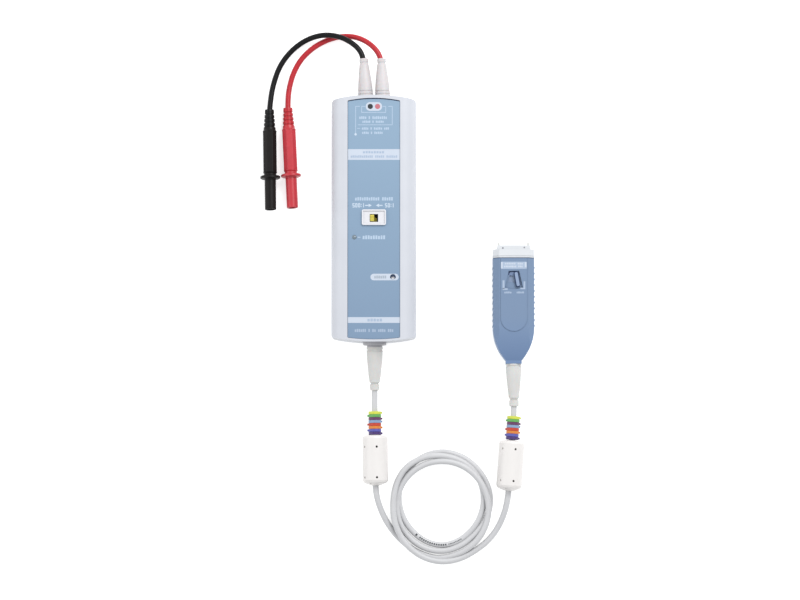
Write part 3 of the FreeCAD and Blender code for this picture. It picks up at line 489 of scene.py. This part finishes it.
def print_trimmer(top):
    """Label of the gain trimmer; inside its hole, painted shade above and a painted highlight
    below.
    """
    low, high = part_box("trimmer_screw")
    x, y = (low.x + high.x) / 2 / MM, (low.y + high.y) / 2 / MM
    opening, rim = 2.42, 2.36
    pill = dense(rounded((-2.8, 20.8), (y - 2.75, y + 2.75), 2.7), 0.6)
    angles = [math.atan2(at_y - y, at_x - x) for at_x, at_y in pill]
    hole = [(x + opening * math.cos(a), y + opening * math.sin(a)) for a in angles]
    printed("trimmer_label", [(pill, hole)], "stripe_ink_and_painted_highlight", top)
    printed("trimmer_rows", text_bars((0.2, 10.6), (y - 1.2, y + 1.2), (6,)), "ink_grey", top,
            1)
    sunk = top - 0.4
    # Painted shade: a dark crescent over the hole's upper part, where its rim casts shade.
    crescent = arc(x, y, rim, -25, 230, 24) + arc(x, y - 0.75, 1.4, -25, 230, 24)[::-1]
    solid_of("trimmer_hole_painted_shade", [crescent], sunk, sunk + INK, "probe",
             "joint_dark_and_painted_shade")
    # Painted highlight: a pale arc over the hole's lower part, where light falls on it.
    highlight_arc = arc(x, y, rim, 205, 130, 14) + arc(x, y, 1.75, 205, 130, 14)[::-1]
    solid_of("trimmer_hole_painted_highlight", [highlight_arc], sunk, sunk + INK, "probe", "stripe_ink_and_painted_highlight")


CASE_BOW = 170.0        # radius of the probe box's bowed ends and of the overlay's lower end
OVERLAY_BOW = 110.0     # radius of the overlay's upper end
CASE_CORNER = 3.5       # radius of the probe box's corners in plan


def bowed(half, low, high):
    """Outline of the overlay: straight sides and bowed ends; low and high are its middle ends."""
    steps = 24
    points = []
    for side, end, radius in ((-1, low, CASE_BOW), (1, high, OVERLAY_BOW)):
        for i in range(steps + 1):
            x = -side * half * (2 * i / steps - 1)
            points.append((x, end - side * (radius - math.sqrt(radius ** 2 - x ** 2))))
    return points


def make_overlay_edge_shade():
    """Dark joint line around the overlay, widened along its upper end into painted shade."""
    low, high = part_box("front_overlay")
    half, top = high.x / MM, high.z / MM
    outer = bowed(half, low.y / MM, high.y / MM)
    # The wider inset at the upper end is painted shade of the recess's wall.
    inner = bowed(half - 0.25, low.y / MM + 0.3, high.y / MM - 0.85)
    solid_of("overlay_joint_and_painted_shade", [(outer, inner)], top, top + INK, "probe",
             "joint_dark_and_painted_shade")


def make_slider_painted_shades():
    """Painted shade on the plate beside the knob, and a painted shadow with a slanting lower end.
    """
    low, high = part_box("switch_slider")
    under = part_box("switch_bezel")[0].z / MM - 0.12
    bottom, top, right = low.y / MM + 0.05, high.y / MM - 0.05, high.x / MM
    knob = right - 2.2      # the knob's side
    # Painted shade: the yellow plate darkened to olive where the window shades it.
    solid_of("slider_plate_painted_shade", [bar((knob + 0.02, right + 0.22), (bottom, top))],
             under, under + 0.08, "range_slider", "painted_shade_olive")
    # Painted shadow: black in the window's upper corner beside the knob.
    corner_shadow = [(knob + 0.3, 0.7), (right + 0.2, -0.3), (right + 0.2, top), (knob + 0.1, top)]
    solid_of("slider_corner_painted_shadow", [corner_shadow], under + 0.08, under + 0.1, "range_slider",
             "painted_shadow_black")


def case_outline(half, length, offset):
    """Outline of the probe box in plan: bowed ends, round corners, moved out by offset."""
    centre_x, bow_y = half - CASE_CORNER, length / 2 - CASE_BOW
    centre_y = bow_y + math.sqrt((CASE_BOW - CASE_CORNER) ** 2 - centre_x ** 2)
    first = math.degrees(math.atan2(centre_y - bow_y, centre_x))
    quarter = arc(centre_x, centre_y, CASE_CORNER + offset, 0, first, 8)
    quarter += arc(0.0, bow_y, CASE_BOW + offset, first, 90 - first, 9)[1:-1]
    upper = quarter + [(-x, y) for x, y in quarter[::-1]]
    return upper + [(-x, -y) for x, y in upper]


def make_case_seam():
    """Fine dark parting line between the front and the rear shell."""
    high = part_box("main_rear_shell")[1]
    half, length, at = high.x / MM, 2 * high.y / MM, high.z / MM
    outlines = tuple(case_outline(half, length, offset) for offset in (0.03, -0.3))
    solid_of("case_seam", [outlines], at - 0.14, at + 0.14, "probe", "gap_grey")


print_front()
make_overlay_edge_shade()
make_slider_painted_shades()
make_case_seam()


# --- details of the interface box -------------------------------------------------------------
LEVER_PIVOT = (117.2, -34.9)    # in plan
LEVER_REST = 9.8                # degrees from straight, as in the CAD at rest
FAN_FLOOR = 25.4                # height of the floor of the lever's recess
HUB_TOP = 26.4                  # height of the interface case
HUB_HALF = 17.2                 # half its width
HUB_SHOULDER = (5.0, 4.2)       # width and drop of its sloping upper edges


def turned_about(points, pivot, degrees):
    """The points after a turn in plan, anticlockwise."""
    c, s = math.cos(math.radians(degrees)), math.sin(math.radians(degrees))
    return [(pivot[0] + (x - pivot[0]) * c - (y - pivot[1]) * s,
             pivot[1] + (x - pivot[0]) * s + (y - pivot[1]) * c) for x, y in points]


def print_interface():
    """Labels of the interface box's panel, without any wording."""
    low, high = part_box("interface_top_shell")
    centre, top = (low.x + high.x) / 2 / MM, high.z / MM
    left, right = centre - 10.9, centre + 10.9
    printed("lever_label", [rounded((left, right), (-42.3, -36.3), 0.7)], "ink_blue", top)
    rows = text_bars((left + 3.2, right - 3.2), (-38.6, -37.3), (6, 3)) \
        + text_bars((left + 2.6, right - 3.4), (-41.0, -39.5), (8, 3))
    rows += [bar((left + 0.3, left + 1.5), (-42.0, -36.6)),
             bar((right - 1.7, right - 0.3), (-41.0, -36.6))]
    printed("lever_label_rows", rows, "stripe_ink_and_painted_highlight", top, layer=1)
    marks = [bar((centre - 9.5, centre - 7.8), (-59.0, -52.0)),
             bar((centre - 9.5, centre - 5.2), (-60.0, -58.6)),
             bar((centre + 8.1, centre + 9.6), (-58.2, -52.8)),
             bar((centre + 5.4, centre + 9.6), (-59.4, -58.2))]
    printed("lever_end_marks", marks, "ink_blue", top)
    rows = text_bars((centre - 8.2, centre - 1.8), (-62.9, -61.3), (4,)) \
        + text_bars((centre + 2.2, centre + 8.6), (-62.9, -61.3), (6,))
    printed("lever_end_rows", rows, "ink_blue", top)


def make_lever_trim():
    """Painted shade: a dark ring for the thumb bar's shaded sides, which moves with it; a painted
    shadow along the recess's upper edge and painted light on the upper part of its floor, which do
    not."""
    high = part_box("lock_lever")[1]
    x, y = LEVER_PIVOT
    # Painted shade: a dark ring for the bar's shaded sides.
    side_shade = (rounded((x - 1.95, x + 1.95), (y - 22.8, y - 9.6), 1.7),
             rounded((x - 1.32, x + 1.32), (y - 22.22, y - 10.38), 1.08))
    outlines = tuple(turned_about(points, LEVER_PIVOT, LEVER_REST) for points in side_shade)
    solid_of("lever_painted_side_shade", [outlines], FAN_FLOOR + 0.06, high.z / MM - 0.25, "lock_lever_body",
             "painted_shade_navy")
    # Painted shadow along the recess's upper edge.
    brow = [(x - 4.6, y - 12.2), (x - 4.3, y - 10.4), (x - 3.7, y - 9.5), (x - 2.7, y - 9.1),
            (x + 2.4, y - 9.1), (x + 2.4, y - 9.8), (x - 2.4, y - 9.8), (x - 3.2, y - 10.2),
            (x - 3.6, y - 11.0), (x - 3.9, y - 12.2)]
    solid_of("fan_painted_brow_shadow", [brow], FAN_FLOOR + 0.04, FAN_FLOOR + 0.055, "probe", "painted_shade_navy")
    # Painted light: a pale sheet over the upper part of the floor, where the recess is in shade.
    floor = [(x - 4.2, y - 9.3), (x + 4.2, y - 9.3), (x + 4.9, y - 12.7), (x - 4.9, y - 12.7)]
    solid_of("fan_painted_light_floor", [floor], FAN_FLOOR + 0.01, FAN_FLOOR + 0.03, "probe",
             "painted_light_lilac")


def make_joint_band():
    """Dark joint between the blue case and the white end block: a band laid over the case's
    sides, shoulders and top."""
    low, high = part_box("interface_end_block")
    centre = (low.x + high.x) / 2 / MM
    front, wide = -32.62, 0.56
    right_side = [(HUB_HALF, 2.2), (HUB_HALF, HUB_TOP - HUB_SHOULDER[1]),
                  (HUB_HALF - HUB_SHOULDER[0], HUB_TOP)]
    made = bmesh.new()
    rows = []
    for x, z in right_side + [(-x, z) for x, z in right_side[::-1]]:
        out = Vector((x, z - HUB_TOP / 2)).normalized()
        for lift in (0.04, -0.3):
            rows.append([made.verts.new(mm(centre + x + out.x * lift, y, z + out.y * lift))
                         for y in (front, front - wide)])
    for i in range(0, len(rows) - 2, 2):
        over, under = (rows[i], rows[i + 2]), (rows[i + 1], rows[i + 3])
        made.faces.new((over[0][0], over[1][0], over[1][1], over[0][1]))
        made.faces.new((under[0][1], under[1][1], under[1][0], under[0][0]))
        made.faces.new((over[0][1], over[1][1], under[1][1], under[0][1]))
        made.faces.new((over[1][0], over[0][0], under[0][0], under[1][0]))
    for end in (0, len(rows) - 2):
        made.faces.new((rows[end][0], rows[end][1], rows[end + 1][1], rows[end + 1][0]))
    finish_piece("interface_joint_line", made, "probe", "joint_dark_and_painted_shade")
    pips = [disc(centre - 9.1, -24.6, 0.75), disc(centre + 8.9, -24.2, 0.65)]
    solid_of("end_block_pips", pips, 25.0, 25.04, "probe", "gap_grey")


print_interface()
make_lever_trim()
make_joint_band()


# --- marks on the cable -----------------------------------------------------------------------
INNER_TURN = 36.5       # only the innermost turn is nearer than this to the coil's centre


def make_cable_marks():
    """Short dark bars, for the printing along the innermost turn of the coil."""
    bare = bpy.data.objects.new("bare_cable", output_cord.data.copy())
    bare.data.bevel_depth = 0.0
    line = bpy.data.meshes.new_from_object(bare)
    spots = []
    for vertex in line.vertices:
        x, y, z = (c / MM for c in vertex.co)
        away = math.hypot(x - COIL_CENTRE[0], y - COIL_CENTRE[1])
        angle = math.degrees(math.atan2(y - COIL_CENTRE[1], x - COIL_CENTRE[0]))
        if away < INNER_TURN and z < 3.0 and -136.0 < angle < -52.0:
            spots.append((angle, away))
    bpy.data.objects.remove(bare)
    # (direction in degrees, width along the cable, half height) of each bar
    marks = [(-129.0, 1.4, 0.9)] + [(-122.4 + 3.15 * i, 1.15, 0.65) for i in range(13)]
    marks += [(-80.2 + 2.05 * i, 0.75, 0.4) for i in range(10)]
    loops = []
    for angle, wide, high in marks:
        away = min(spots, key=lambda spot: abs(spot[0] - angle))[1]
        half = math.degrees(wide / 2 / away)
        loops.append([(COIL_CENTRE[0] + r * math.cos(math.radians(a)),
                       COIL_CENTRE[1] + r * math.sin(math.radians(a)))
                      for r, a in ((away - high, angle - half), (away - high, angle + half),
                                   (away + high, angle + half), (away + high, angle - half))])
    solid_of("cable_marks", loops, CABLE_D - 0.2, CABLE_D + 0.02, "probe",
             "ink_black")


make_cable_marks()


# --- light and floor --------------------------------------------------------------------------
def make_light(name, place, aim, size, power):
    """Soft rectangular lamp at a place, turned towards its aim."""
    data = bpy.data.lights.new(name, "AREA")
    data.shape = "RECTANGLE"
    data.size, data.size_y = size
    data.energy = power
    lamp = bpy.data.objects.new(name, data)
    lamp.location = place
    lamp.rotation_mode = "QUATERNION"
    lamp.rotation_quaternion = (Vector(aim) - Vector(place)).to_track_quat("-Z", "Y")
    bpy.context.scene.collection.objects.link(lamp)


def make_studio():
    """Two soft lamps, an even bright sky and a white floor."""
    make_light("key", (0.75, 1.15, 1.55), (0.02, -0.02, 0.0), (1.2, 1.0), 34.0)
    make_light("fill", (-1.7, 0.1, 1.1), (0.02, -0.05, 0.0), (1.6, 1.2), 9.0)
    world = bpy.data.worlds.new("studio")
    world.use_nodes = True
    sky = world.node_tree.nodes["Background"]
    sky.inputs["Color"].default_value = (0.97, 0.985, 1.0, 1.0)
    sky.inputs["Strength"].default_value = 1.0
    bpy.context.scene.world = world
    mesh = bpy.data.meshes.new("floor")
    half, level = 4.0, -0.0002      # a little under the surface that the object stands on
    corners = bar((-half, half), (-half, half))
    mesh.from_pydata([(x, y, level) for x, y in corners], [], [(0, 1, 2, 3)])
    floor = bpy.data.objects.new("floor", mesh)
    bpy.context.scene.collection.objects.link(floor)
    surface("floor_white", (255, 255, 255), 0.9, 0.004, 2.0, 300, 0.01, specular=0.0)
    white = MATERIALS["floor_white"]
    shader = white.node_tree.nodes["Principled BSDF"]
    shader.inputs["Emission Color"].default_value = (1.0, 1.0, 1.0, 1.0)
    shader.inputs["Emission Strength"].default_value = 0.6
    mesh.materials.append(white)
    view = bpy.context.scene.view_settings
    view.view_transform = "Standard"
    view.look = "None"


make_studio()
